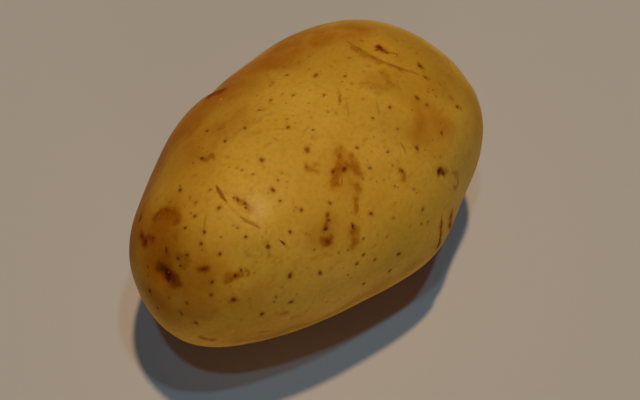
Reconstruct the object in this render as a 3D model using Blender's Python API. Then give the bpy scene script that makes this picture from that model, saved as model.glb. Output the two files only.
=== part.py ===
"""A potato: one oblong tuber with thin yellow skin, lying on the flattest of its sides.

Metres, +Z up. +X runs from the heel, where the tuber hung on its runner, to the rose end,
where the eyes crowd together. The origin is under the middle of the tuber, on the surface
that it lies on. A tuber grows as one piece, so this is one solid with its eyes in its skin.
"""

import math
from collections import namedtuple

import bmesh
import bpy
import numpy as np

MM = 0.001

# The tuber's driving sizes, before its swells and hollows
LENGTH = 100 * MM
WIDTH = 65 * MM
THICKNESS = 55 * MM

# Above 2 an outline is fuller than an ellipse: the ends are blunt and the girth a little squared
END_FULLNESS = 2.35
GIRTH_FULLNESS = 2.1
# How much wider and thicker the rose end is than the middle, and the heel narrower and thinner
ROSE_WIDTH_GAIN = 0.16
ROSE_THICKNESS_GAIN = 0.05

# How deep the side that it lies on is pressed flat
FLAT_DEPTH = 0.5 * MM

# The guide sphere's halvings, and how far round the middle of an eye or of the heel's scar
# its net is made finer, then finer again, as shares of the eye's or scar's width
GUIDE_CUTS = 5
FINE_REACHES = (0.66, 0.46)

# A place on the skin is given by along, from -1 at the heel to 1 at the rose end, and by clock,
# in degrees round the long axis: 0 on top, 90 on the +Y side, 180 underneath, 270 on the -Y side.
Swell = namedtuple("Swell", "along clock height spread")
SWELLS = {
    "far_flank_hollow": Swell(0.28, 42, -1.2 * MM, 22 * MM),
    "far_haunch": Swell(-0.27, 61, 0.8 * MM, 10 * MM),
    "heel_far_cheek": Swell(-0.58, 58, -1.6 * MM, 14 * MM),
    "heel_flat": Swell(-0.96, 85, -1.0 * MM, 11 * MM),
    "heel_chin": Swell(-0.90, 205, 0.7 * MM, 12 * MM),
    "near_heel_belly": Swell(-0.66, 250, -1.1 * MM, 17 * MM),
    "near_haunch": Swell(0.14, 253, 2.5 * MM, 15 * MM),
    "near_rose_hollow": Swell(0.51, 276, -2.8 * MM, 13 * MM),
    "rose_near_cheek": Swell(0.74, 322, -1.0 * MM, 9 * MM),
    "rose_near_corner": Swell(0.87, 302, 0.4 * MM, 10 * MM),
    "far_rose_hollow": Swell(0.48, 116, -1.2 * MM, 14 * MM),
    "far_heel_swell": Swell(-0.38, 112, 0.8 * MM, 12 * MM),
    "near_belly_hollow": Swell(-0.12, 212, -0.9 * MM, 13 * MM),
    "rose_chin": Swell(0.86, 160, 0.7 * MM, 12 * MM),
}

# An eye: width is its brow from tip to tip. The brow is the scar of a scale leaf, a low ridge
# that arches round the heel side of the pit, and twist turns it round the eye's middle, in degrees.
Eye = namedtuple("Eye", "along clock width depth twist")
EYES = {
    "heel_top": Eye(-0.53, 345, 15 * MM, 0.8 * MM, 0),
    "rose_top": Eye(0.51, 357, 19 * MM, 0.9 * MM, 4),
    "far_side": Eye(-0.06, 60, 13 * MM, 0.9 * MM, 8),
    "near_side": Eye(0.26, 265, 11 * MM, 1.0 * MM, -6),
    "rose_near": Eye(0.86, 318, 10 * MM, 0.9 * MM, 15),
    "rose_far": Eye(0.80, 75, 11 * MM, 0.9 * MM, -10),
    "rose_under": Eye(0.82, 195, 11 * MM, 0.9 * MM, 8),
    "far_under": Eye(0.30, 140, 13 * MM, 1.0 * MM, -14),
    "heel_far_under": Eye(-0.45, 118, 14 * MM, 0.9 * MM, 6),
    "near_under": Eye(-0.35, 226, 13 * MM, 0.9 * MM, -9),
}

# Shares of an eye's width
PIT_SPAN = 0.30
PIT_REACH = 0.17
BROW_GAP = 0.17
BROW_ARCH = 0.26
BROW_THICKNESS = 0.07
BROW_SPAN = 0.5
# Shares of an eye's depth
BROW_HEIGHT = 0.5
BUD_HEIGHT = 0.7
BUD_RADIUS = 1.2 * MM

# The scar of the runner at the heel: a dimple with a small crater, where the runner broke off
Scar = namedtuple("Scar", "along clock width depth")
SCAR = Scar(-0.91, 357, 13 * MM, 1.0 * MM)
# Shares of the scar's width and depth
DIMPLE_REACH = 0.42
CRATER_REACH = 0.13
CRATER_DEPTH = 0.9

SKIN_COLOUR = (0.50, 0.27, 0.04, 1)
SKIN_ROUGHNESS = 0.45


def clear_scene():
    for obj in list(bpy.data.objects):
        bpy.data.objects.remove(obj)


def guide_direction(place):
    """The unit direction on the guide sphere of a place on the skin."""
    turn = math.radians(place.clock)
    girth = math.sqrt(1 - place.along**2)
    return np.array([place.along, girth * math.sin(turn), girth * math.cos(turn)])


def bare_body(directions):
    """The tuber without swells or eyes: a blunt oval, wider at the rose end."""
    x, y, z = np.abs(directions).T
    girth = (y**GIRTH_FULLNESS + z**GIRTH_FULLNESS) ** (END_FULLNESS / GIRTH_FULLNESS)
    reach = (x**END_FULLNESS + girth) ** (-1 / END_FULLNESS)
    points = directions * reach[:, None] * np.array([LENGTH, WIDTH, THICKNESS]) / 2
    station = points[:, 0] / (LENGTH / 2)
    points[:, 1] *= 1 + ROSE_WIDTH_GAIN * station
    points[:, 2] *= 1 + ROSE_THICKNESS_GAIN * station
    return points


def outward(points):
    """Unit normals of the oval through these points."""
    slopes = points / np.array([LENGTH, WIDTH, THICKNESS]) ** 2
    return slopes / np.linalg.norm(slopes, axis=1)[:, None]


def bump(distance, spread):
    return np.exp(-((distance / spread) ** 2))


def swollen(directions):
    """The tuber with the broad swells and hollows that give it its own shape, but without eyes."""
    body = bare_body(directions)
    heights = np.zeros(len(body))
    for swell in SWELLS.values():
        middle = bare_body(guide_direction(swell)[None])[0]
        distance = np.linalg.norm(body - middle, axis=1)
        heights += swell.height * bump(distance, swell.spread)
    return body + outward(body) * heights[:, None]


def from_middle(points, place, twist=0.0):
    """How far these points are from a place on the skin: towards the rose end, round the girth, and in all."""
    middle = swollen(guide_direction(place)[None])[0]
    normal = outward(middle[None])[0]
    to_rose = np.array([1.0, 0.0, 0.0]) - normal[0] * normal
    to_rose /= np.linalg.norm(to_rose)
    round_girth = np.cross(normal, to_rose)
    turn = math.radians(twist)
    offset = points - middle
    forward = offset @ to_rose
    sideways = offset @ round_girth
    return (
        forward * math.cos(turn) + sideways * math.sin(turn),
        sideways * math.cos(turn) - forward * math.sin(turn),
        np.linalg.norm(offset, axis=1),
    )


def eye_relief(points, eye):
    """Heights of one eye: a shallow pit, its arched brow on the heel side and the bud inside."""
    forward, sideways, distance = from_middle(points, eye, eye.twist)
    pit = -bump(forward, PIT_REACH * eye.width) * bump(sideways, PIT_SPAN * eye.width)
    brow_line = (BROW_ARCH * sideways**2 / eye.width) - BROW_GAP * eye.width
    brow = bump(forward - brow_line, BROW_THICKNESS * eye.width)
    brow *= bump(sideways, BROW_SPAN * eye.width) ** 2
    bud = bump(distance, BUD_RADIUS)
    relief = eye.depth * (pit + BROW_HEIGHT * brow + BUD_HEIGHT * bud)
    return np.where(distance < eye.width, relief, 0)


def scar_relief(points):
    """Heights of the runner's scar at the heel."""
    distance = from_middle(points, SCAR)[2]
    dimple = bump(distance, DIMPLE_REACH * SCAR.width)
    crater = bump(distance, CRATER_REACH * SCAR.width)
    return -SCAR.depth * (dimple + CRATER_DEPTH * crater)


def skin(directions):
    """The finished skin over these directions of the guide sphere."""
    points = swollen(directions)
    heights = scar_relief(points)
    for eye in EYES.values():
        heights += eye_relief(points, eye)
    return points + outward(points) * heights[:, None]


def directions_of(bm):
    return np.array([vert.co.normalized() for vert in bm.verts])


def refine_round_marks(bm, reach):
    """Halves the guide sphere's edges within reach, in widths, of the middle of an eye or the scar."""
    bm.verts.index_update()
    points = swollen(directions_of(bm))
    ends = np.array([[vert.index for vert in edge.verts] for edge in bm.edges])
    middles = points[ends].mean(axis=1)
    near = np.zeros(len(middles), bool)
    for mark in [*EYES.values(), SCAR]:
        near |= from_middle(middles, mark)[2] < reach * mark.width
    edges = [edge for edge, is_near in zip(bm.edges, near) if is_near]
    bmesh.ops.subdivide_edges(bm, edges=edges, cuts=1, use_grid_fill=True)
    bmesh.ops.triangulate(bm, faces=bm.faces[:])


def press_flat(bm):
    """Cuts the underside level where the tuber lies on the surface."""
    everything = bm.verts[:] + bm.edges[:] + bm.faces[:]
    cut = bmesh.ops.bisect_plane(
        bm, geom=everything, plane_co=(0, 0, 0), plane_no=(0, 0, -1), clear_outer=True
    )
    rim = [item for item in cut["geom_cut"] if isinstance(item, bmesh.types.BMEdge)]
    bmesh.ops.edgenet_fill(bm, edges=rim)
    bmesh.ops.recalc_face_normals(bm, faces=bm.faces[:])


def skin_material():
    material = bpy.data.materials.new("yellow_skin")
    material.use_nodes = True
    shader = material.node_tree.nodes["Principled BSDF"]
    shader.inputs["Base Color"].default_value = SKIN_COLOUR
    shader.inputs["Roughness"].default_value = SKIN_ROUGHNESS
    shader.inputs["Metallic"].default_value = 0
    return material


def make_potato():
    bm = bmesh.new()
    bmesh.ops.create_icosphere(bm, subdivisions=GUIDE_CUTS, radius=1)
    for reach in FINE_REACHES:
        refine_round_marks(bm, reach)
    points = skin(directions_of(bm))
    points -= (points.min(axis=0) + points.max(axis=0)) / 2
    points[:, 2] -= points[:, 2].min() + FLAT_DEPTH
    for vert, point in zip(bm.verts, points):
        vert.co = point
    press_flat(bm)
    mesh = bpy.data.meshes.new("potato")
    bm.to_mesh(mesh)
    bm.free()
    mesh.shade_smooth()
    mesh.materials.append(skin_material())
    return bpy.data.objects.new("potato", mesh)


def main():
    clear_scene()
    vegetable = bpy.data.collections.new("potato")
    bpy.context.scene.collection.children.link(vegetable)
    vegetable.objects.link(make_potato())


main()
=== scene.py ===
"""The looks of a potato: its thin yellow skin with eyes, lenticels, rust and scratches.

Metres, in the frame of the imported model: +X from the heel to the rose end, +Z up, and the
origin on the surface that the potato lies on. Pixels are those of the 640 by 400 photograph.
"""

import math
from collections import namedtuple

import bpy
import numpy as np
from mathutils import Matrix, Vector, noise
from mathutils.bvhtree import BVHTree


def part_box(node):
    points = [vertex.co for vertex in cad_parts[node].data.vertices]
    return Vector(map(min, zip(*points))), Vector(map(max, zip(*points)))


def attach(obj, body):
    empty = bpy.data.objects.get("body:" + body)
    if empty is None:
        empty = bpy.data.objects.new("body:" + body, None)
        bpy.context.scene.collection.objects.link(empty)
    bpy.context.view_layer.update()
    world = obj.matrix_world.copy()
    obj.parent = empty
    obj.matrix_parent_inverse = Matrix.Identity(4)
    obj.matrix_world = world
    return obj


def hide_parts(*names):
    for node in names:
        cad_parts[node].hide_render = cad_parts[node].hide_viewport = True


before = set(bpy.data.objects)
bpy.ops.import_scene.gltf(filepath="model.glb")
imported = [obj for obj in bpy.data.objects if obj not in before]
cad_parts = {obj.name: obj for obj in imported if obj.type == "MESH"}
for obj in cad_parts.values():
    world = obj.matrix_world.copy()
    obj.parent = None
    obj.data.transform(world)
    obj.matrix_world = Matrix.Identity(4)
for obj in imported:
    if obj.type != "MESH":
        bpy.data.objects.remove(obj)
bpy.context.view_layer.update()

MM = 0.001

# The camera looks down on the potato from the side of its heel, as the photograph's does. It is
# no part of the object, but its rays say where on the skin a pixel of the photograph lies.
VIEW_AZIMUTH = math.radians(-48.5)
VIEW_ELEVATION = math.radians(52)
VIEW_DISTANCE = 300 * MM
VIEW_ANGLE = math.radians(29)
VIEW_TARGET = Vector((-0.58, -4.53, 24.79)) * MM
PHOTO_MIDDLE = (320, 200)
SENSOR_WIDTH_MM = 36

camera_data = bpy.data.cameras.new("camera")
camera_data.sensor_width = SENSOR_WIDTH_MM
camera_data.lens = SENSOR_WIDTH_MM / 2 / math.tan(VIEW_ANGLE / 2)
camera_data.clip_start = 10 * MM
camera = bpy.data.objects.new("camera", camera_data)
bpy.context.scene.collection.objects.link(camera)
bpy.context.scene.camera = camera


def towards(azimuth, elevation):
    """The unit direction to a camera or lamp that stands at this azimuth and elevation."""
    level = math.cos(elevation)
    return Vector((math.sin(azimuth) * level, -math.cos(azimuth) * level, math.sin(elevation)))


view_back = towards(VIEW_AZIMUTH, VIEW_ELEVATION)
view_turn = view_back.to_track_quat("Z", "Y")
camera.location = VIEW_TARGET + view_back * VIEW_DISTANCE
camera.rotation_mode = "QUATERNION"
camera.rotation_quaternion = view_turn


def pixel_ray(pixel):
    """The direction in which the camera sees a pixel of the photograph."""
    slope = math.tan(VIEW_ANGLE / 2) / PHOTO_MIDDLE[0]
    right = (pixel[0] - PHOTO_MIDDLE[0]) * slope
    down = (pixel[1] - PHOTO_MIDDLE[1]) * slope
    return (view_turn @ Vector((right, -down, -1))).normalized()


# The tuber is one piece that grew: firm flesh under a thin, waxy yellow skin. The skin is a net
# laid over the solid, drawn smooth, with the relief of its marks worked into it. What is too
# fine for the net is kept on it as measures of each mark, from which the material draws them.
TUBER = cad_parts["potato"]
NET_CUTS = np.array([168, 116, 96])
FAIRING_ROUNDS = 16


def box_net(cuts):
    """The crossings of a net over a box's six sides, from -1 to 1, and its quads seen from outside."""
    places = np.indices(cuts + 1).reshape(3, -1).T
    outside = ((places == 0) | (places == cuts)).any(axis=1)
    number = np.full(len(places), -1)
    number[outside] = np.arange(outside.sum())
    number = number.reshape(cuts + 1)
    sides = []
    for axis in range(3):
        for end in (0, cuts[axis]):
            sheet = np.take(number, end, axis=axis)
            corners = [sheet[:-1, :-1], sheet[1:, :-1], sheet[1:, 1:], sheet[:-1, 1:]]
            side = np.stack(corners, axis=-1).reshape(-1, 4)
            turned = (end == 0) != (axis == 1)
            sides.append(side[:, ::-1] if turned else side)
    return places[outside] * 2 / cuts - 1, np.concatenate(sides)


def reach_over(mesh, middle, directions):
    """How far the mesh lies from its middle in each direction."""
    corners = [vert.co for vert in mesh.vertices]
    sides = [polygon.vertices for polygon in mesh.polygons]
    tree = BVHTree.FromPolygons(corners, sides)
    hits = [tree.ray_cast(middle, Vector(direction)) for direction in directions]
    return np.array([hit[3] for hit in hits])


def faired(values, quads, rounds):
    """The values on a net, each drawn part of the way to its neighbours' mean, again and again."""
    first = quads.ravel()
    second = np.roll(quads, -1, axis=1).ravel()
    neighbours = np.bincount(first)
    for _ in range(rounds):
        around = np.bincount(first, values[second]) / neighbours
        values = (values + around) / 2
    return values


def skin_net():
    """The smooth skin without its marks: the net's points and quads."""
    low, high = (np.array(corner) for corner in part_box("potato"))
    middle = (low + high) / 2
    half = (high - low) / 2
    places, quads = box_net(NET_CUTS)
    directions = np.tan(places * math.pi / 4) * half
    oval_reach = 1 / np.linalg.norm(directions / half, axis=1)
    lengths = np.linalg.norm(directions, axis=1)
    reach = reach_over(TUBER.data, Vector(middle), directions / lengths[:, None])
    fullness = faired(reach / (oval_reach * lengths), quads, FAIRING_ROUNDS)
    points = middle + directions * (oval_reach * fullness)[:, None]
    points[:, 2] = np.maximum(points[:, 2], 0)
    return points, quads


points, quads = skin_net()
skin_mesh = bpy.data.meshes.new("potato_skin")
skin_mesh.from_pydata(points, [], quads)
skin_mesh.update()
normals = np.empty(points.size)
skin_mesh.vertices.foreach_get("normal", normals)
normals = normals.reshape(-1, 3)
skin_tree = BVHTree.FromPolygons(points.tolist(), quads.tolist())
# Firm flesh fills the skin a little unevenly
WAVE_SIZES = {9 * MM: 0.14 * MM, 3 * MM: 0.035 * MM}
relief = np.zeros(len(points))
for size, height in WAVE_SIZES.items():
    relief += height * np.array([noise.noise(Vector(point / size)) for point in points])


def seen(pixel):
    """The point of the skin that a pixel of the photograph shows."""
    hit = skin_tree.ray_cast(camera.location, pixel_ray(pixel))
    return np.array(hit[0])


def nearest(place):
    """The point of the skin that is nearest to a place in space."""
    return np.array(skin_tree.find_nearest(Vector(place))[0])


def normal_at(point):
    """The skin's outward direction at one of its points."""
    return normals[np.argmin(np.linalg.norm(points - point, axis=1))]


def bump(distance, spread):
    return np.exp(-((distance / spread) ** 2))


def unit(vector):
    return vector / np.linalg.norm(vector)


def measured_along(path, points=points):
    """How far each point of the net is from a path over the skin, to its left, and from its start."""
    distance = np.full(len(points), np.inf)
    across = np.zeros(len(points))
    travelled = np.zeros(len(points))
    start_at = 0
    for start, end in zip(path, path[1:]):
        length = np.linalg.norm(end - start)
        heading = (end - start) / length
        ahead = np.clip((points - start) @ heading, 0, length)
        offset = points - start - ahead[:, None] * heading
        gap = np.linalg.norm(offset, axis=1)
        to_left = np.cross(normals, heading)
        closer = gap < distance
        distance[closer] = gap[closer]
        across[closer] = (offset * to_left).sum(axis=1)[closer]
        travelled[closer] = (start_at + ahead)[closer]
        start_at += length
    return distance, across, travelled, start_at


# Marks of one kind share layers of three numbers on the net. Round a mark they are its two
# coordinates, in its own half sizes, and its strength, so its edge stays sharp between the
# net's points. A mark goes into the first layer that nothing else has taken near it.
MARK_FADE_START = 0.7 * MM
MARK_FADE_END = 1.2 * MM
MARK_CLEARANCE = 1.8 * MM
NOWHERE = 9


def add_to_layers(layers, distance, coordinates, strength):
    """Puts one mark into a layer; distance is measured from its edge, outwards."""
    near = distance < MARK_CLEARANCE
    free = next((layer for layer in layers if not layer[near, 2].any()), None)
    if free is None:
        return False
    fade = (MARK_FADE_END - distance[near]) / (MARK_FADE_END - MARK_FADE_START)
    free[near, :2] = coordinates[near]
    free[near, 2] = np.broadcast_to(strength, near.shape)[near] * np.clip(fade, 0.0001, 1)
    return True


def empty_layers(count):
    return [np.tile([NOWHERE, NOWHERE, 0.0], (len(points), 1)) for _ in range(count)]


dot_layers = empty_layers(4)
line_layers = empty_layers(3)
nick_layers = empty_layers(1)


def add_dot(middle, radius, strength, depth=0.0, heading=(1, 0, 0), stretch=1.0, layers=dot_layers):
    """A round or oval mark."""
    normal = normal_at(middle)
    along = unit(np.array(heading) - (normal @ heading) * normal)
    across = np.cross(normal, along)
    offset = points - middle
    coordinates = np.stack([offset @ along / stretch, offset @ across], axis=1) / radius
    distance = np.linalg.norm(offset, axis=1)
    if add_to_layers(layers, distance - radius * stretch, coordinates, strength):
        oval = np.linalg.norm(coordinates, axis=1)
        relief[distance < 3 * radius * stretch] -= depth * bump(oval, 1.2)[distance < 3 * radius * stretch]


def add_line(path, half_width, strength, fold=0.0, groove=0.0, taper=0.35):
    """A line mark along a path. A fold stands up to the left of it and sinks to its right."""
    distance, across, travelled, length = measured_along(path)
    share = travelled / length
    swelling = np.clip(np.minimum(share, 1 - share) / taper, 0, 1)
    width = half_width * (0.45 + 0.55 * swelling)
    coordinates = np.stack([across / width, share], axis=1)
    ends = np.clip(np.minimum(share, 1 - share) * length / (0.4 * MM), 0, 1)
    add_to_layers(line_layers, distance - half_width, coordinates, strength * ends)
    near = distance < 8 * half_width
    rise = fold * across / half_width * bump(across, 2.2 * half_width) * swelling
    rise -= groove * bump(across, 1.2 * half_width) * swelling
    rise *= bump(distance, 4 * half_width)
    relief[near] += rise[near]


# The eyes. Each has a brow, the scar of a scale leaf, that arches round the heel side of a
# shallow pit with the bud in it. The solid has their forms, and these are their fine lines.
BROWS = {
    "heel_eye_upper": ([(216, 185), (219, 191), (223, 198), (227, 203)], 0.56 * MM, 1.0),
    "heel_eye_middle": ([(227, 203), (232, 210), (239, 216)], 0.45 * MM, 0.15),
    "heel_eye_lower": ([(239, 216), (246, 221), (253, 224), (261, 229)], 0.50 * MM, 0.65),
    "rose_eye": (
        [(346, 41), (357, 48), (367, 54), (378, 60), (390, 64), (402, 69), (420, 75)], 0.85 * MM, 0.45,
    ),
    "far_eye": ([(208, 97), (212, 93), (218, 91), (226, 88)], 0.55 * MM, 0.8),
}
for pixels, half_width, strength in BROWS.values():
    add_line([seen(pixel) for pixel in pixels], half_width, strength, fold=-0.03 * MM)

# Buds are dark scaly specks in the pits
BUDS = {
    "heel_eye": [(234, 198, 0.3), (238, 200, 0.4), (245, 204, 0.45), (246, 208, 0.3), (250, 211, 0.4)],
    "rose_eye": [(380, 47, 0.50), (377, 50, 0.35), (383, 50, 0.4), (387, 53, 0.35), (391, 55, 0.4)],
    "far_eye": [(210, 94, 0.6)],
    "near_eye": [(451, 216, 0.45), (450, 225, 0.45)],
}
chance = np.random.default_rng(7)
for scales in BUDS.values():
    for across_photo, down_photo, radius in scales:
        add_dot(
            seen((across_photo, down_photo)), radius * MM, 0.70, depth=0.05 * MM,
            heading=chance.normal(size=3), stretch=chance.uniform(1.0, 1.8),
        )

HIDDEN_EYES = {
    "rose_far": ((41.6, 23.2, 31.6), 11 * MM, -10),
    "rose_under": ((42.8, -4.6, 10.4), 11 * MM, 8),
    "far_under": ((15.2, 22.4, 6.4), 13 * MM, -14),
    "heel_far_under": ((-23.9, 26.2, 15.1), 14 * MM, 6),
    "near_under": ((-18.2, -19.9, 9.3), 13 * MM, -9),
}
BROW_GAP = 0.17
BROW_ARCH = 0.26


def eye_axes(middle, twist):
    """The directions towards the rose end and round the girth at an eye's middle."""
    normal = normal_at(middle)
    to_rose = unit(np.array([1.0, 0, 0]) - normal[0] * normal)
    round_girth = np.cross(normal, to_rose)
    turn = math.radians(twist)
    forward = to_rose * math.cos(turn) + round_girth * math.sin(turn)
    return forward, np.cross(normal, forward)


for place, width, twist in HIDDEN_EYES.values():
    middle = nearest(Vector(place) * MM)
    forward, sideways = eye_axes(middle, twist)
    brow = []
    for step in np.linspace(-0.42, 0.42, 9) * width:
        ahead = BROW_ARCH * step**2 / width - BROW_GAP * width
        brow.append(nearest(Vector(middle + forward * ahead + sideways * step)))
    add_line(brow, 0.32 * MM, 0.65, fold=0.10 * MM)
    for _ in range(4):
        spot = middle + forward * chance.normal(0, 0.7 * MM) + sideways * chance.normal(0, 1.1 * MM)
        add_dot(nearest(Vector(spot)), chance.uniform(0.3, 0.5) * MM, 0.8, depth=0.05 * MM)

# Lenticels, the pores of the skin, are small corky dots. Those in the photograph are placed by
# their pixels, and the rest of the skin has them by chance, as far apart.
LENTICELS = {
    "large": (0.62 * MM, 1.0, [
        (288, 127), (457, 107), (417, 98), (420, 66), (307, 150), (417, 148), (273, 190), (180, 190),
        (234, 215), (326, 229), (423, 209), (371, 214), (201, 244), (268, 247), (399, 254), (262, 314),
        (291, 302), (150, 291), (320, 273), (290, 276), (316, 75), (262, 160), (234, 300), (344, 169),
    ]),
    "middling": (0.46 * MM, 0.9, [
        (324, 95), (345, 76), (390, 107), (373, 118), (313, 130), (202, 158), (301, 210), (290, 232),
        (280, 201), (357, 148), (388, 152), (370, 168), (330, 203), (329, 220), (328, 215), (364, 255),
        (357, 264), (375, 260), (390, 271), (364, 284), (422, 224), (219, 208), (220, 254), (195, 216),
        (185, 228), (204, 232), (178, 259), (180, 266), (187, 255), (211, 295), (187, 303), (196, 323),
        (158, 308), (442, 133), (427, 105), (425, 77), (245, 128), (225, 141), (207, 131), (333, 172),
        (212, 282), (241, 270), (235, 276), (402, 171), (246, 237), (293, 95), (271, 100), (287, 75),
    ]),
    "small": (0.34 * MM, 0.65, [
        (328, 112), (398, 129), (393, 165), (363, 179), (395, 186), (414, 189), (393, 218), (428, 222),
        (314, 250), (348, 250), (364, 239), (348, 275), (196, 202), (191, 213), (210, 190), (193, 163),
        (180, 186), (238, 228), (221, 237), (242, 170), (253, 174), (278, 180), (142, 237), (153, 238),
        (146, 241), (148, 267), (148, 276), (169, 298), (274, 302), (276, 297), (397, 41), (433, 90),
        (428, 92), (436, 96), (447, 172), (350, 58), (309, 69), (273, 83), (287, 119), (433, 140),
        (306, 167), (142, 236), (145, 243), (152, 238), (235, 276), (166, 209),
    ]),
    "faint": (0.42 * MM, 0.3, [
        (467, 138), (441, 156), (410, 226), (395, 203), (384, 180), (306, 234), (339, 252), (327, 302),
        (307, 311), (339, 299), (336, 113), (363, 99), (352, 83), (310, 90), (283, 93), (309, 112),
        (311, 118), (264, 167), (282, 173), (287, 182), (294, 211), (228, 157), (199, 121), (226, 114),
        (440, 84), (445, 83), (340, 149), (387, 237), (422, 260), (414, 264), (237, 168), (250, 299),
        (282, 287), (309, 56), (295, 123), (362, 41), (357, 50), (396, 40), (440, 157), (398, 161),
        (190, 197), (202, 250), (269, 255), (241, 320), (180, 327), (144, 283), (170, 202), (156, 200),
        (148, 200), (299, 62), (284, 67), (276, 68), (378, 34), (364, 71), (369, 66), (399, 88),
        (450, 97), (434, 90), (349, 58), (335, 61), (331, 66),
    ]),
}
# Those on the upper side, above this row of the photograph, are paler
PALER_ABOVE = 225
PALER_SHARE = 0.80
for radius, strength, places in LENTICELS.values():
    for place in places:
        darkness = strength * (PALER_SHARE if place[1] < PALER_ABOVE else 1)
        add_dot(
            seen(place), radius * chance.uniform(0.75, 1.05), darkness * chance.uniform(0.85, 1.0),
            depth=0.1 * radius, heading=chance.normal(size=3), stretch=chance.uniform(1.0, 1.4),
        )

facing = normals @ np.array(view_back)
LENTICEL_SPACING = 6.2 * MM
HIDDEN_LENTICELS = 170
taken = []
for candidate in chance.permutation(np.flatnonzero(facing < 0.12)):
    spot = points[candidate]
    if all(np.linalg.norm(spot - other) > LENTICEL_SPACING for other in taken):
        taken.append(spot)
        radius = chance.choice([0.34, 0.42, 0.52]) * MM
        add_dot(spot, radius, chance.uniform(0.3, 1.0), depth=0.1 * radius)
    if len(taken) == HIDDEN_LENTICELS:
        break

# Dashes are short cuts and elongated pores
DASHES = {
    "below_middle": ((280, 240), (286, 246), 0.24 * MM, 1.0),
    "beside_middle": ((352, 223), (354, 230), 0.36 * MM, 1.0),
    "heel": ((200, 270), (209, 268), 0.45 * MM, 0.6),
    "under_heel": ((179, 310), (183, 316), 0.4 * MM, 0.7),
    "heel_left": ((138, 223), (142, 217), 0.4 * MM, 0.6),
    "above_scar": ((166, 247), (166, 255), 0.3 * MM, 0.7),
    "far_top": ((257, 110), (262, 110), 0.32 * MM, 0.6),
    "near_edge": ((258, 332), (270, 331), 0.4 * MM, 0.4),
    "upper_middle": ((340, 94), (340, 104), 0.5 * MM, 0.3),
}
for start, end, half_width, strength in DASHES.values():
    first, last = seen(start), seen(end)
    half_length = np.linalg.norm(last - first) / 2
    add_dot(
        nearest(Vector((first + last) / 2)), half_width, strength,
        depth=0.08 * MM, heading=unit(last - first), stretch=half_length / half_width,
    )

# Nicks show the pale flesh under the skin
NICKS = [
    (395, 55, 0.3), (387, 51, 0.25), (294, 97, 0.25), (326, 97, 0.3), (167, 273, 0.25),
    (281, 239, 0.25), (221, 99, 0.35), (213, 103, 0.3), (401, 261, 0.25), (233, 331, 0.3),
]
for across_photo, down_photo, radius in NICKS:
    add_dot(seen((across_photo, down_photo)), radius * MM, 0.9, layers=nick_layers)

# Scratches and a growth crack
SCRATCHES = {
    "near_crack": ([(442, 214), (442, 226), (441, 238), (438, 247)], 0.36 * MM, 1.0, 0.35 * MM),
    "heel_streak": ([(206, 214), (205, 222), (204, 231)], 0.3 * MM, 0.4, 0.0),
    "middle_hair": ([(274, 129), (280, 129), (286, 129)], 0.15 * MM, 0.5, 0.0),
    "right_slash": ([(400, 142), (404, 148), (406, 154)], 0.26 * MM, 0.7, 0.0),
    "upper_slash": ([(272, 137), (276, 139), (279, 142)], 0.2 * MM, 0.5, 0.0),
    "scuff_hair_low": ([(338, 97), (346, 99), (352, 97)], 0.3 * MM, 0.2, 0.0),
    "near_hair": ([(452, 171), (457, 179), (459, 186)], 0.2 * MM, 0.4, 0.0),
    "heel_rim_hair": ([(170, 329), (176, 330), (182, 331)], 0.2 * MM, 0.6, 0.0),
    "rust_hair": ([(342, 175), (342, 181), (342, 187)], 0.18 * MM, 0.6, 0.0),
    "top_hair": ([(338, 88), (340, 97), (340, 105)], 0.45 * MM, 0.3, 0.0),
    "top_hair_right": ([(345, 96), (347, 106), (349, 118)], 0.35 * MM, 0.25, 0.0),
    "upper_hair": ([(376, 100), (378, 107), (379, 117)], 0.3 * MM, 0.3, 0.0),
    "scuff_hair": ([(358, 83), (366, 83), (374, 82)], 0.2 * MM, 0.25, 0.0),
}
for pixels, half_width, strength, groove in SCRATCHES.values():
    add_line([seen(pixel) for pixel in pixels], half_width, strength, groove=groove)

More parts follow.
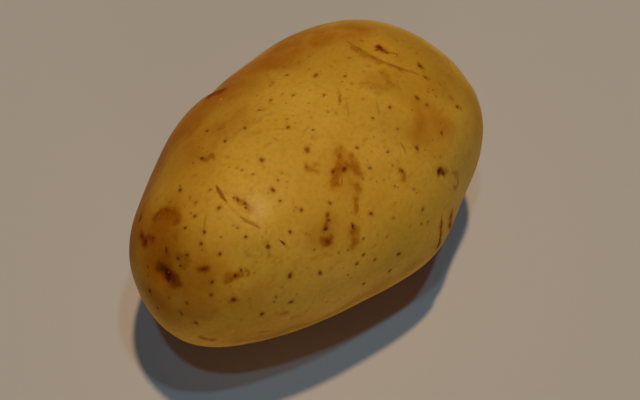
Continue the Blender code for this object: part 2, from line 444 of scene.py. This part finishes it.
# Rust, tan and olive zones, painted shade, a painted highlight and the dark scar are fields: how strongly each
# point of the net has them
Patch = namedtuple("Patch", "pixels reach strength")
RUST = {
    "middle_body": Patch([(340, 154), (340, 164), (336, 176), (335, 183)], 1.7 * MM, 0.78),
    "middle_bridge": Patch([(338, 166), (345, 164), (353, 167)], 1.7 * MM, 0.75),
    "middle_right": Patch([(351, 156), (355, 166), (358, 174)], 1.3 * MM, 0.8),
    "middle_top": Patch([(341, 147), (340, 156)], 0.9 * MM, 0.55),
    "middle_core": Patch([(344, 169)], 0.7 * MM, 1.3),
    "middle_core_left": Patch([(334, 172)], 0.8 * MM, 1.3),
    "middle_streak_top": Patch([(351, 181), (356, 186), (360, 190)], 0.9 * MM, 0.6),
    "middle_streak": Patch([(356, 184), (357, 192), (356, 202), (355, 211)], 1.0 * MM, 0.7),
    "left_patch": Patch([(306, 163), (306, 168), (313, 171), (318, 172)], 0.9 * MM, 0.75),
    "left_patch_top": Patch([(308, 167), (316, 163)], 0.8 * MM, 0.6),
    "heel_crescent": Patch([(156, 217), (161, 212), (167, 210), (173, 212), (177, 219)], 1.5 * MM, 0.85),
    "heel_crescent_body": Patch([(165, 215), (172, 216)], 1.7 * MM, 0.70),
    "heel_crescent_core": Patch([(166, 211)], 0.9 * MM, 1.3),
    "heel_crescent_tail": Patch([(152, 226), (154, 220), (158, 214)], 0.7 * MM, 0.7),
    "heel_left": Patch([(142, 235), (145, 243), (152, 239)], 1.3 * MM, 1.0),
    "heel_buds": Patch([(235, 198), (243, 203), (250, 211)], 1.2 * MM, 0.6),
    "heel_smudges": Patch([(190, 199), (197, 201), (196, 206)], 0.9 * MM, 0.45),
    "belly_patch": Patch([(227, 278), (234, 276), (241, 274)], 1.1 * MM, 1.0),
    "belly_patch_core": Patch([(233, 276), (237, 275)], 0.7 * MM, 1.4),
    "belly_ring": Patch([(243, 272), (246, 268), (250, 271), (248, 276), (244, 275)], 0.6 * MM, 0.75),
    "heel_dash": Patch([(199, 269), (209, 269)], 0.9 * MM, 0.95),
    "heel_dot_tail": Patch([(269, 252), (270, 257)], 0.8 * MM, 0.6),
    "upper_triangle": Patch([(203, 159), (208, 160), (212, 157)], 1.0 * MM, 0.9),
    "far_smudge": Patch([(219, 129), (224, 125)], 0.9 * MM, 0.6),
    "far_eye": Patch([(208, 98), (213, 94), (222, 91)], 1.6 * MM, 1.0),
    "right_spot": Patch([(403, 172), (402, 176), (402, 180)], 0.9 * MM, 1.0),
    "right_spot_arm": Patch([(400, 171), (403, 176), (405, 171)], 0.6 * MM, 0.8),
    "scuff_right": Patch([(382, 71), (386, 76), (388, 82), (393, 85)], 1.3 * MM, 0.6),
    "scuff_left": Patch([(372, 88), (380, 87)], 0.9 * MM, 0.6),
    "under_dash": Patch([(353, 232), (355, 243)], 2.2 * MM, 0.7),
    "big_pore": Patch([(327, 241)], 1.4 * MM, 1.6),
    "pore_trail": Patch([(327, 214), (328, 221), (326, 229)], 0.7 * MM, 0.7),
    "pore_trail_left": Patch([(321, 232), (325, 232)], 0.7 * MM, 0.6),
    "rose_smudge": Patch([(359, 40), (363, 41)], 0.7 * MM, 0.5),
    "rose_smudge_low": Patch([(355, 50), (360, 50)], 0.6 * MM, 0.5),
    "rose_bud": Patch([(379, 47), (384, 51)], 1.2 * MM, 1.0),
    "rose_brow": Patch([(350, 46), (358, 51), (368, 57), (380, 62), (392, 66), (402, 70)], 1.3 * MM, 0.62),
    "rose_bud_right": Patch([(386, 52), (396, 54)], 0.7 * MM, 0.9),
    "rose_streak": Patch([(412, 48), (421, 50)], 0.5 * MM, 0.5),
    "rose_low": Patch([(449, 97), (452, 98)], 0.9 * MM, 0.7),
    "rose_dot_tail": Patch([(457, 107), (463, 108)], 0.7 * MM, 0.7),
    "rose_pore_low": Patch([(423, 77), (429, 79)], 0.7 * MM, 0.7),
    "scuff_low": Patch([(372, 86), (382, 88), (390, 86)], 1.3 * MM, 0.5),
    "scuff_far": Patch([(358, 84), (368, 82)], 0.8 * MM, 0.45),
    "orange_core": Patch([(418, 121), (421, 125)], 1.6 * MM, 0.45),
    "rose_pores": Patch([(418, 64), (422, 68)], 0.9 * MM, 0.8),
    "near_eye": Patch([(452, 212), (450, 220), (450, 228)], 1.2 * MM, 1.0),
    "near_crack": Patch([(441, 224), (441, 238), (438, 247)], 1.2 * MM, 0.8),
    "near_ring": Patch([(453, 172), (458, 177), (458, 186), (454, 188)], 0.9 * MM, 0.65),
    "hole_side": Patch([(446, 168), (449, 173)], 0.8 * MM, 0.5),
    "belly_spots": Patch([(281, 314), (287, 313)], 1.1 * MM, 0.7),
    "belly_spots_right": Patch([(292, 318), (299, 316)], 1.0 * MM, 0.6),
    "belly_core": Patch([(231, 301), (238, 299)], 0.9 * MM, 0.7),
    "bottom_rim": Patch([(203, 338), (213, 340)], 1.0 * MM, 0.9),
    "upper_blob": Patch([(266, 75), (273, 84)], 1.0 * MM, 0.45),
    "olive_smear": Patch([(246, 175), (250, 179)], 1.0 * MM, 0.35),
    "olive_middle": Patch([(299, 177), (301, 175)], 1.1 * MM, 0.35),
    "heel_faint": Patch([(174, 233), (176, 238)], 1.2 * MM, 0.5),
    "heel_left_line": Patch([(139, 222), (141, 216)], 0.6 * MM, 0.9),
}
# Tan zones are partly the skin's own orange-brown, as in the rose end's orange zone and round rust and pores,
# and partly painted shade along the rims, over the far top and at the heel
TAN_AND_SHADE = {
    "rose_zone": Patch([(415, 108), (420, 130)], 3.8 * MM, 0.65),
    "rose_zone_wide": Patch([(424, 118), (440, 124)], 6.5 * MM, 0.5),
    "right": Patch([(438, 148)], 5 * MM, 0.3),
    "upper_left_rim": Patch([(180, 130), (220, 92), (262, 62), (300, 36)], 9 * MM, 0.85),
    "left_rim": Patch([(135, 230), (150, 180), (180, 130)], 9 * MM, 0.85),
    "left_upper": Patch([(185, 165), (198, 145), (230, 120)], 8 * MM, 0.5),
    "heel": Patch([(160, 235), (165, 275), (160, 300)], 9 * MM, 0.75),
    "belly": Patch([(215, 265), (190, 320), (250, 335), (300, 325)], 7 * MM, 0.4),
    "far_top": Patch([(262, 66), (285, 50), (320, 35), (350, 28)], 9 * MM, 0.8),
    "rose_top": Patch([(360, 38), (400, 38)], 8 * MM, 0.40),
    "big_pore": Patch([(326, 228), (325, 240)], 3 * MM, 0.45),
    "middle_rust": Patch([(336, 160), (342, 172), (350, 185)], 4.5 * MM, 0.35),
    "scuff": Patch([(375, 80), (390, 76)], 4.5 * MM, 0.30),
    "heel_low": Patch([(192, 262), (198, 285), (200, 310)], 6 * MM, 0.55),
    "bud": Patch([(382, 50)], 3 * MM, 0.5),
    "rose_rim": Patch([(410, 50), (445, 75), (474, 110)], 9 * MM, 0.42),
    "belly_left": Patch([(225, 300), (255, 298)], 5 * MM, 0.40),
}
# Olive zones are greener and darker; along the rose rim and the right rim they are painted shade
OLIVE_AND_RIM_SHADE = {
    "rose_rim": Patch([(415, 50), (445, 75), (470, 105)], 8 * MM, 1.0),
    "right": Patch([(470, 120), (462, 160), (440, 200), (400, 240)], 9 * MM, 0.7),
    "belly": Patch([(290, 285), (260, 260)], 8 * MM, 0.5),
}
# The heel eye's pale glow is partly paler skin and partly a painted highlight
PALE_SKIN_AND_HIGHLIGHT = {
    "heel_eye": Patch([(256, 202), (261, 211)], 2.8 * MM, 0.9),
    "heel_eye_wide": Patch([(236, 180), (250, 196), (262, 212)], 4.5 * MM, 0.40),
}
# Painted shade: these zones are painted darker and browner all over where the skin lies in shade, along its
# rims and over its ends
PAINTED_SHADE = {
    "top": Patch([(285, 62), (320, 58), (350, 58)], 7 * MM, 0.40),
    "rose_upper": Patch([(400, 88), (435, 88)], 6 * MM, 0.55),
    "right": Patch([(385, 120), (420, 145)], 6 * MM, 0.40),
    "rose_rim": Patch([(400, 34), (440, 58), (470, 95), (480, 125)], 4 * MM, 0.45),
    "top_rim": Patch([(360, 24), (400, 32)], 4 * MM, 0.60),
    "low_rim": Patch([(240, 341), (300, 327), (350, 304), (400, 276), (438, 246)], 2.5 * MM, 0.70),
    "left": Patch([(158, 180), (200, 125), (235, 95)], 7 * MM, 0.45),
    "heel": Patch([(150, 225), (165, 262), (190, 275)], 10 * MM, 0.60),
    "heel_near": Patch([(215, 285), (230, 300)], 6 * MM, 0.45),
    "belly": Patch([(315, 240), (340, 245)], 6 * MM, 0.30),
}
BRUISE_AND_HEEL_SHADE = {
    "scar": Patch([(162, 268), (168, 275), (175, 281)], 2.0 * MM, 0.90),
    "scar_corner": Patch([(172, 281), (179, 284)], 1.2 * MM, 0.85),
    "scar_core": Patch([(166, 273), (168, 279)], 1.1 * MM, 1.25),
    "scar_wide": Patch([(164, 262), (170, 274)], 5.5 * MM, 0.42),
    "far_eye": Patch([(210, 96), (213, 94)], 1.1 * MM, 0.65),
    "rose_bud": Patch([(379, 46), (381, 49)], 0.6 * MM, 0.75),
    "heel_left": Patch([(142, 236), (145, 243)], 0.9 * MM, 0.60),
    "crack_end": Patch([(440, 240), (438, 246)], 0.7 * MM, 0.80),
    "scar_line": Patch([(166, 247), (167, 255)], 0.5 * MM, 0.6),
    "scar_patch": Patch([(178, 257), (185, 257), (187, 263), (181, 266)], 1.6 * MM, 0.45),
    # Painted shade: the heel end is painted darker as a whole
    "heel_wide": Patch([(158, 240), (165, 262), (178, 285)], 9 * MM, 0.32),
    "heel_low": Patch([(196, 272), (200, 292)], 5 * MM, 0.26),
    "big_pore": Patch([(326, 241), (328, 242)], 0.7 * MM, 0.60),
    "hole": Patch([(440, 172)], 1.1 * MM, 1.25),
    "hole_low": Patch([(443, 174)], 0.9 * MM, 1.0),
    "hole_rim": Patch([(439, 171), (445, 172)], 1.6 * MM, 0.42),
}


def strayed(size, amount):
    """The net's points, moved at random: what is measured from them has no clean edge."""
    return points + amount * np.array([noise.noise_vector(Vector(point / size)) for point in points])


def field_of(patches, points):
    """The combined strength of patches at each of these points."""
    field = np.zeros(len(points))
    for patch in patches.values():
        path = [seen(pixel) for pixel in patch.pixels]
        if len(path) == 1:
            distance = np.linalg.norm(points - path[0], axis=1)
        else:
            distance = measured_along(path, points)[0]
        field = np.maximum(field, patch.strength * bump(distance, patch.reach))
    return field


nearly = strayed(1.9 * MM, 0.7 * MM)
roughly = strayed(7 * MM, 3 * MM)
fields = {
    "rust": field_of(RUST, nearly),
    "tan": field_of(TAN_AND_SHADE, roughly),
    "olive_and_rim_shade": field_of(OLIVE_AND_RIM_SHADE, roughly),
    "painted_shade": field_of(PAINTED_SHADE, roughly),
    "pale_and_highlight": field_of(PALE_SKIN_AND_HIGHLIGHT, nearly),
    "bruise_and_heel_shade": field_of(BRUISE_AND_HEEL_SHADE, nearly),
}

hidden = np.flatnonzero(facing < 0.05)
HIDDEN_RUST_PATCHES = 16
for _ in range(HIDDEN_RUST_PATCHES):
    middle = points[chance.choice(hidden)]
    forward, sideways = eye_axes(middle, chance.uniform(0, 180))
    reach = chance.uniform(1.0, 3.5) * MM
    path = [nearest(Vector(middle + forward * step)) for step in (-reach, 0, reach)]
    patch = chance.uniform(0.4, 0.9) * bump(measured_along(path)[0], chance.uniform(0.7, 1.5) * MM)
    fields["rust"] = np.maximum(fields["rust"], patch)

# Painted shade: the side turned away from the camera is painted browner and darker, as at the upper left rim
fields["tan"] = np.maximum(fields["tan"], 0.55 * np.clip(-facing / 0.5, 0, 1))
HIDDEN_TAN_ZONES = 12
for _ in range(HIDDEN_TAN_ZONES):
    middle = points[chance.choice(hidden)]
    zone = chance.uniform(-0.5, 0.5) * bump(np.linalg.norm(points - middle, axis=1), chance.uniform(7, 14) * MM)
    fields["tan"] = np.where(facing < 0.1, np.clip(fields["tan"] + zone, 0, 1.2), fields["tan"])

# The hole near the rose end is a slug's or wireworm's, and is dark inside
HOLE_MIDDLE = seen((441, 173))
relief -= 0.7 * MM * bump(np.linalg.norm(points - HOLE_MIDDLE, axis=1), 0.8 * MM)
SCAR_MIDDLE = seen((167, 274))
relief -= 0.5 * MM * bump(np.linalg.norm(points - SCAR_MIDDLE, axis=1), 1.3 * MM)
BIG_PORE = seen((327, 242))
relief -= 0.12 * MM * bump(np.linalg.norm(points - BIG_PORE, axis=1), 0.9 * MM)
# The heel eye's brow side stands up a little, and falls towards the middle
BROW_SWELL = seen((232, 210))
relief += 0.3 * MM * bump(np.linalg.norm(points - BROW_SWELL, axis=1), 5 * MM)

points += normals * relief[:, None]
points[:, 2] = np.maximum(points[:, 2], 0)
skin_mesh.vertices.foreach_set("co", points.ravel())
skin_mesh.update()
skin_mesh.shade_smooth()

for kind, layers in (("dots", dot_layers), ("lines", line_layers), ("nicks", nick_layers)):
    for number, layer in enumerate(layers):
        skin_mesh.attributes.new(f"{kind}_{number}", "FLOAT_VECTOR", "POINT")
        skin_mesh.attributes[f"{kind}_{number}"].data.foreach_set("vector", layer.ravel())
for name, field in fields.items():
    skin_mesh.attributes.new(name, "FLOAT", "POINT")
    skin_mesh.attributes[name].data.foreach_set("value", field)

skin = bpy.data.objects.new("potato_skin", skin_mesh)
bpy.context.scene.collection.objects.link(skin)


class Shade:
    """A socket of a material's nodes. Arithmetic on it adds Math nodes."""

    def __init__(self, tree, socket=None):
        self.tree = tree
        self.socket = socket

    def node(self, kind, settings, sockets, output=0):
        """Adds a node: its settings come first, then the values or links of its sockets."""
        made = self.tree.nodes.new(kind)
        for name, setting in settings.items():
            setattr(made, name, setting)
        for name, value in sockets.items():
            into = next(socket for socket in made.inputs if socket.identifier == name)
            if isinstance(value, Shade):
                self.tree.links.new(value.socket, into)
            else:
                into.default_value = value
        return Shade(self.tree, next(s for s in made.outputs if output in (0, s.identifier)))

    def math(self, operation, *values):
        names = ("Value", "Value_001", "Value_002")
        return self.node("ShaderNodeMath", {"operation": operation}, dict(zip(names, values)))

    def __add__(self, other):
        return self.math("ADD", self, other)

    def __sub__(self, other):
        return self.math("SUBTRACT", self, other)

    def __rsub__(self, other):
        return self.math("SUBTRACT", other, self)

    def __mul__(self, other):
        return self.math("MULTIPLY", self, other)

    __radd__ = __add__
    __rmul__ = __mul__

    def larger(self, other):
        return self.math("MAXIMUM", self, other)

    def ramp(self, start, end):
        """A soft step: 0 at start and 1 at end."""
        sockets = {"Value": self, "From Min": start, "From Max": end}
        return self.node("ShaderNodeMapRange", {"interpolation_type": "SMOOTHSTEP"}, sockets)

    def blend(self, low, high):
        """From one colour to another, by this value."""
        sockets = {"Factor_Float": self, "A_Color": low, "B_Color": high}
        return self.node("ShaderNodeMix", {"data_type": "RGBA"}, sockets, "Result_Color")


GOLD = (0.76, 0.405, 0.034, 1)
PALE_GOLD = (0.83, 0.470, 0.056, 1)
OLIVE_AND_SHADE_GOLD = (0.58, 0.350, 0.030, 1)
# The brown of painted shade
SHADED_GOLD = (0.47, 0.235, 0.012, 1)
# The colour of paler skin and the painted highlight at the heel eye
PALE_FLESH_AND_HIGHLIGHT = (0.96, 0.58, 0.065, 1)
NICK_CREAM = (0.90, 0.62, 0.16, 1)
# Tan skin's brown, also the colour of painted shade at the rims and heel
TAN_AND_SHADE_BROWN = (0.44, 0.125, 0, 1)
RUST_BROWN = (0.38, 0.092, 0, 1)
RUST_DARK = (0.20, 0.030, 0, 1)
LINE_BROWN = (0.27, 0.065, 0, 1)
# Shares of the colour below that these let through
RUST_TINT = (0.68, 0.39, 0.0)
LINE_TINT = (0.38, 0.17, 0.0)
PORE_TINT = (0.26, 0.075, 0.0)
SCAR_BROWN = (0.080, 0.010, 0.001, 1)

skin_material = bpy.data.materials.new("waxy_yellow_skin")
skin_material.use_nodes = True
skin_shader = skin_material.node_tree.nodes["Principled BSDF"]
shade = Shade(skin_material.node_tree)
in_tuber = shade.node("ShaderNodeTexCoord", {}, {}, "Object")


def cloud(size, detail=2.0, roughness=0.5, stretched=(1, 1, 1)):
    """Soft noise of a given size, from 0 to 1, drawn out along an axis if stretched."""
    sockets = {"Vector": in_tuber, "Vector_001": [1 / share for share in stretched]}
    where = shade.node("ShaderNodeVectorMath", {"operation": "MULTIPLY"}, sockets)
    sockets = {"Vector": where, "Scale": 1 / size, "Detail": detail, "Roughness": roughness}
    return shade.node("ShaderNodeTexNoise", {}, sockets, "Fac")


def layer_parts(name):
    """The three numbers of one of the net's layers."""
    layer = shade.node("ShaderNodeAttribute", {"attribute_name": name}, {}, "Vector")
    return [shade.node("ShaderNodeSeparateXYZ", {}, {"Vector": layer}, axis) for axis in "XYZ"]


def field(name):
    return shade.node("ShaderNodeAttribute", {"attribute_name": name}, {}, "Fac")


def tinted(colour, tint):
    return shade.node("ShaderNodeVectorMath", {"operation": "MULTIPLY"}, {"Vector": colour, "Vector_001": tint})


def specks(spacing, share):
    """Small round specks, on a share of the cells of a loose pattern."""
    cells = shade.node("ShaderNodeTexVoronoi", {}, {"Vector": in_tuber, "Scale": 1 / spacing}, "Distance")
    chosen = cloud(spacing * 1.3, 0).ramp(1 - share, 1.05 - share)
    return cells.ramp(0.16, 0.05) * chosen


broad = cloud(16 * MM, 3)
mottle = cloud(5 * MM, 4)
fine = cloud(1.1 * MM, 3)
grain = cloud(0.35 * MM, 3)
ragged = cloud(0.8 * MM, 4, 0.65)
streaks = cloud(1.6 * MM, 5, 0.7, (1, 1, 3))
wobble = cloud(0.6 * MM, 2)
smudges = cloud(2.2 * MM, 5, 0.6, (2, 1, 1)).ramp(0.52, 0.70) * cloud(8 * MM, 2).ramp(0.42, 0.62)
freckles = specks(2.4 * MM, 0.6)

pore_core = 0 * broad
pore_halo = 0 * broad
for number in range(len(dot_layers)):
    u, v, strength = layer_parts(f"dots_{number}")
    out = shade.math("SQRT", u * u + v * v) + (wobble - 0.5) * 1.1
    pore_core = pore_core.larger(out.ramp(1.25, 0.25) * strength)
    pore_halo = pore_halo.larger(out.ramp(2.4, 0.6) * strength)

u, v, strength = layer_parts("nicks_0")
nick = (shade.math("SQRT", u * u + v * v) + (wobble - 0.5) * 1.2).ramp(1.2, 0.3) * strength

line_core = 0 * broad
for number in range(len(line_layers)):
    across, along, strength = layer_parts(f"lines_{number}")
    out = shade.math("ABSOLUTE", across) + (wobble - 0.5) * 0.9
    line_core = line_core.larger(out.ramp(1.3, 0.3) * strength * (fine * 0.6 + 0.6))

rust_edge = field("rust") + (streaks - 0.5) * 1.3 + (ragged - 0.5) * 0.5
rust_wash = field("rust").ramp(0.03, 0.8) * (streaks * 1.2 + 0.2)
rust_body = rust_edge.ramp(0.30, 0.95) * (ragged * 0.9 + 0.35)
rust_deep = rust_edge.ramp(0.75, 1.60) * (ragged * 0.8 + 0.5)
tan = (field("tan") * (mottle * 0.5 + broad * 0.5 + 0.5) + (mottle - 0.5) * 0.4).ramp(0.0, 1.0)
olive_and_rim_shade = (field("olive_and_rim_shade") + (broad - 0.5) * 0.8).ramp(0.1, 0.9)
bruise_and_heel_shade = field("bruise_and_heel_shade") * (ragged * 0.7 + 0.65)

colour = (broad + (mottle - 0.5) * 0.5).ramp(0.3, 0.75).blend(GOLD, PALE_GOLD)
# An olive tone, and painted shade along the rose rim and right rim
colour = (olive_and_rim_shade * 0.8).blend(colour, OLIVE_AND_SHADE_GOLD)
# Painted shade darkens the skin in broad zones
colour = field("painted_shade").blend(colour, SHADED_GOLD)
# Paler skin and a painted highlight at the heel eye
colour = field("pale_and_highlight").blend(colour, PALE_FLESH_AND_HIGHLIGHT)
# Tan skin, and painted shade at the rims, far top and heel
colour = (tan * 0.9).blend(colour, TAN_AND_SHADE_BROWN)
colour = ((1 - fine.ramp(0.30, 0.60)) * 0.16).blend(colour, TAN_AND_SHADE_BROWN)
colour = (grain.ramp(0.60, 0.75) * 0.12).blend(colour, RUST_BROWN)
colour = (smudges * 0.30).blend(colour, RUST_BROWN)
colour = (freckles * 0.45).blend(colour, LINE_BROWN)
colour = (rust_wash * 0.5).blend(colour, tinted(colour, RUST_TINT))
colour = (rust_body * 0.85).blend(colour, tinted(colour, RUST_TINT))
colour = (rust_deep * 0.85).blend(colour, RUST_DARK)
colour = (pore_halo * 0.35).blend(colour, RUST_BROWN)
colour = (line_core * 0.9).blend(colour, tinted(colour, LINE_TINT))
# Bruises and dark marks, and painted shade over the heel end
colour = (bruise_and_heel_shade.ramp(0.05, 0.75) * 0.85).blend(colour, RUST_DARK)
colour = (bruise_and_heel_shade.ramp(0.65, 1.10) * 0.90).blend(colour, SCAR_BROWN)
colour = (pore_core * 0.98).blend(colour, tinted(colour, PORE_TINT))
colour = (nick * 0.65).blend(colour, NICK_CREAM)

unwaxed = tan.larger(rust_body).larger(pore_core).larger(field("painted_shade"))
wax = (field("pale_and_highlight") * 0.42 + 0.10) * (1 - unwaxed * 0.85)
roughness = 0.45 + (mottle - 0.5) * 0.12 + rust_body * 0.2 + pore_core * 0.25 + bruise_and_heel_shade * 0.2
height = fine * 0.25 + grain * 0.25 + mottle * 0.6 - pore_core * 1.6 + rust_body * 0.5 - line_core * 0.3
surface = shade.node("ShaderNodeBump", {}, {"Strength": 0.35, "Distance": 0.08 * MM, "Height": height})

tree = skin_material.node_tree
tree.links.new(colour.socket, skin_shader.inputs["Base Color"])
tree.links.new(roughness.socket, skin_shader.inputs["Roughness"])
tree.links.new(wax.socket, skin_shader.inputs["Coat Weight"])
tree.links.new(surface.socket, skin_shader.inputs["Normal"])
skin_shader.inputs["Specular IOR Level"].default_value = 0.02
skin_shader.inputs["Coat Roughness"].default_value = 0.36
skin_shader.inputs["Subsurface Weight"].default_value = 0.4
skin_shader.inputs["Subsurface Radius"].default_value = (1.0, 0.4, 0.1)
skin_shader.inputs["Subsurface Scale"].default_value = 3 * MM
skin_mesh.materials.append(skin_material)

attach(skin, "root")
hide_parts("potato")

# The floor is a plain pale sheet, and is no part of the object. Three small lamps hang nearly
# overhead: a warm one, and two weaker, cooler ones that fill its shadow with blue. A low window
# in front lights the potato's lower side. Only the left lamp shows in the skin's gloss.
FLOOR_SIDE = 3.0
FLOOR_COLOUR = (0.62, 0.56, 0.49, 1)

floor_mesh = bpy.data.meshes.new("floor")
corner = FLOOR_SIDE / 2
floor_mesh.from_pydata(
    [(-corner, -corner, 0), (corner, -corner, 0), (corner, corner, 0), (-corner, corner, 0)], [], [(0, 1, 2, 3)]
)
floor = bpy.data.objects.new("floor", floor_mesh)
bpy.context.scene.collection.objects.link(floor)
floor_material = bpy.data.materials.new("pale_sheet")
floor_material.use_nodes = True
floor_shader = floor_material.node_tree.nodes["Principled BSDF"]
floor_shader.inputs["Base Color"].default_value = FLOOR_COLOUR
floor_shader.inputs["Roughness"].default_value = 0.7
floor_mesh.materials.append(floor_material)

Lamp = namedtuple("Lamp", "azimuth elevation distance diameter watts colour in_gloss")
LAMPS = {
    "warm_ceiling_lamp": Lamp(114, 79, 4.0, 0.24, 74, (1.0, 0.73, 0.46), False),
    "right_ceiling_lamp": Lamp(39.5, 78.6, 4.0, 0.24, 19, (0.31, 0.66, 0.94), False),
    "left_ceiling_lamp": Lamp(291.8, 76.9, 4.0, 0.24, 12, (0.40, 0.81, 1.20), True),
    "window_in_front": Lamp(322, 10, 2.0, 0.8, 4.6, (0.95, 0.88, 1.0), False),
}
for name, lamp in LAMPS.items():
    light = bpy.data.lights.new(name, "AREA")
    light.shape = "DISK"
    light.size = lamp.diameter
    light.energy = lamp.watts
    light.color = lamp.colour
    lit = bpy.data.objects.new(name, light)
    direction = towards(math.radians(lamp.azimuth), math.radians(lamp.elevation))
    lit.location = VIEW_TARGET + direction * lamp.distance
    lit.rotation_mode = "QUATERNION"
    lit.rotation_quaternion = direction.to_track_quat("Z", "Y")
    lit.visible_glossy = lamp.in_gloss
    bpy.context.scene.collection.objects.link(lit)

ROOM_LIGHT = (0.10, 0.11, 0.12, 1)
room = bpy.data.worlds.new("room")
room.use_nodes = True
room.node_tree.nodes["Background"].inputs["Color"].default_value = ROOM_LIGHT
room.node_tree.nodes["Background"].inputs["Strength"].default_value = 0.02
bpy.context.scene.world = room
bpy.context.scene.view_settings.view_transform = "Standard"
